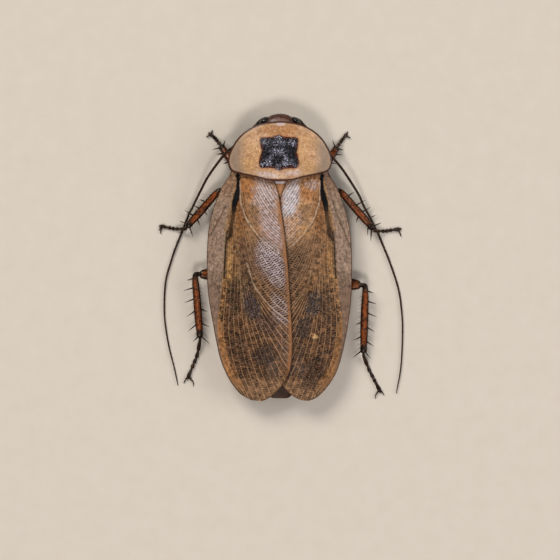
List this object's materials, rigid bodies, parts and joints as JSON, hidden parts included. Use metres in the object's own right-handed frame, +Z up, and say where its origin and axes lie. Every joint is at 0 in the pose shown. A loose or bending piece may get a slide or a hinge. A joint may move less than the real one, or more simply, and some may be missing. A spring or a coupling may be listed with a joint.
{
  "type": "polymorphic roach",
  "caption": "Large winged forest cockroach standing with folded speckled wings, black pronotal mark, spiny legs and long swept-back antennae; a still life-size model.",
  "frame": {"origin": "on the floor, under the middle of the bounding box", "axes": "+Y towards the head along the body, +X towards the animal's right, +Z up from the floor"},
  "size_m": [0.0427, 0.0498, 0.0091],
  "materials": {
    "abdomen": "satin dark brown overlapping plates",
    "antenna": "finely ringed, satin dark brown",
    "cercus": "ringed, satin brown",
    "eye": "polished black compound eye",
    "foot": "glossy dark brown cuticle",
    "head": "glossy chestnut cuticle, paler between the eyes",
    "hindwing": "thin brown pleated membrane",
    "jaw": "glossy dark cuticle",
    "leg": "glossy amber cuticle with dark edges and dark spines",
    "mouth": "glossy brown cuticle",
    "pronotum": "waxy tan shield with a lumpy glossy black mark and translucent grey-beige margins",
    "tegmen": "waxy, leathery orange-brown wing cover with raised pale veins and dark speckles",
    "thorax": "satin brown cuticle"
  },
  "bodies": {
    "root": {"abdomen": "abdomen", "antenna_left_a": "antenna", "antenna_left_b": "antenna", "antenna_left_c": "antenna", "antenna_left_d": "antenna", "antenna_left_scape": "antenna", "antenna_right_a": "antenna", "antenna_right_b": "antenna", "antenna_right_c": "antenna", "antenna_right_d": "antenna", "antenna_right_scape": "antenna", "cercus_left": "cercus", "cercus_right": "cercus", "eye_left": "eye", "eye_right": "eye", "front_left_coxa": "leg", "front_left_femur": "leg", "front_left_foot": "foot", "front_left_tibia": "leg", "front_right_coxa": "leg", "front_right_femur": "leg", "front_right_foot": "foot", "front_right_tibia": "leg", "head": "head", "hind_left_coxa": "leg", "hind_left_femur": "leg", "hind_left_foot": "foot", "hind_left_tibia": "leg", "hind_right_coxa": "leg", "hind_right_femur": "leg", "hind_right_foot": "foot", "hind_right_tibia": "leg", "hindwing_left": "hindwing", "hindwing_right": "hindwing", "labium": "mouth", "labrum": "mouth", "mandible_left": "jaw", "mandible_right": "jaw", "mesothorax": "thorax", "metathorax": "thorax", "middle_left_coxa": "leg", "middle_left_femur": "leg", "middle_left_foot": "foot", "middle_left_tibia": "leg", "middle_right_coxa": "leg", "middle_right_femur": "leg", "middle_right_foot": "foot", "middle_right_tibia": "leg", "palp_left": "mouth", "palp_right": "mouth", "pronotum": "pronotum", "prothorax": "thorax", "tegmen_left": "tegmen", "tegmen_right": "tegmen"}
  },
  "joints": []
}
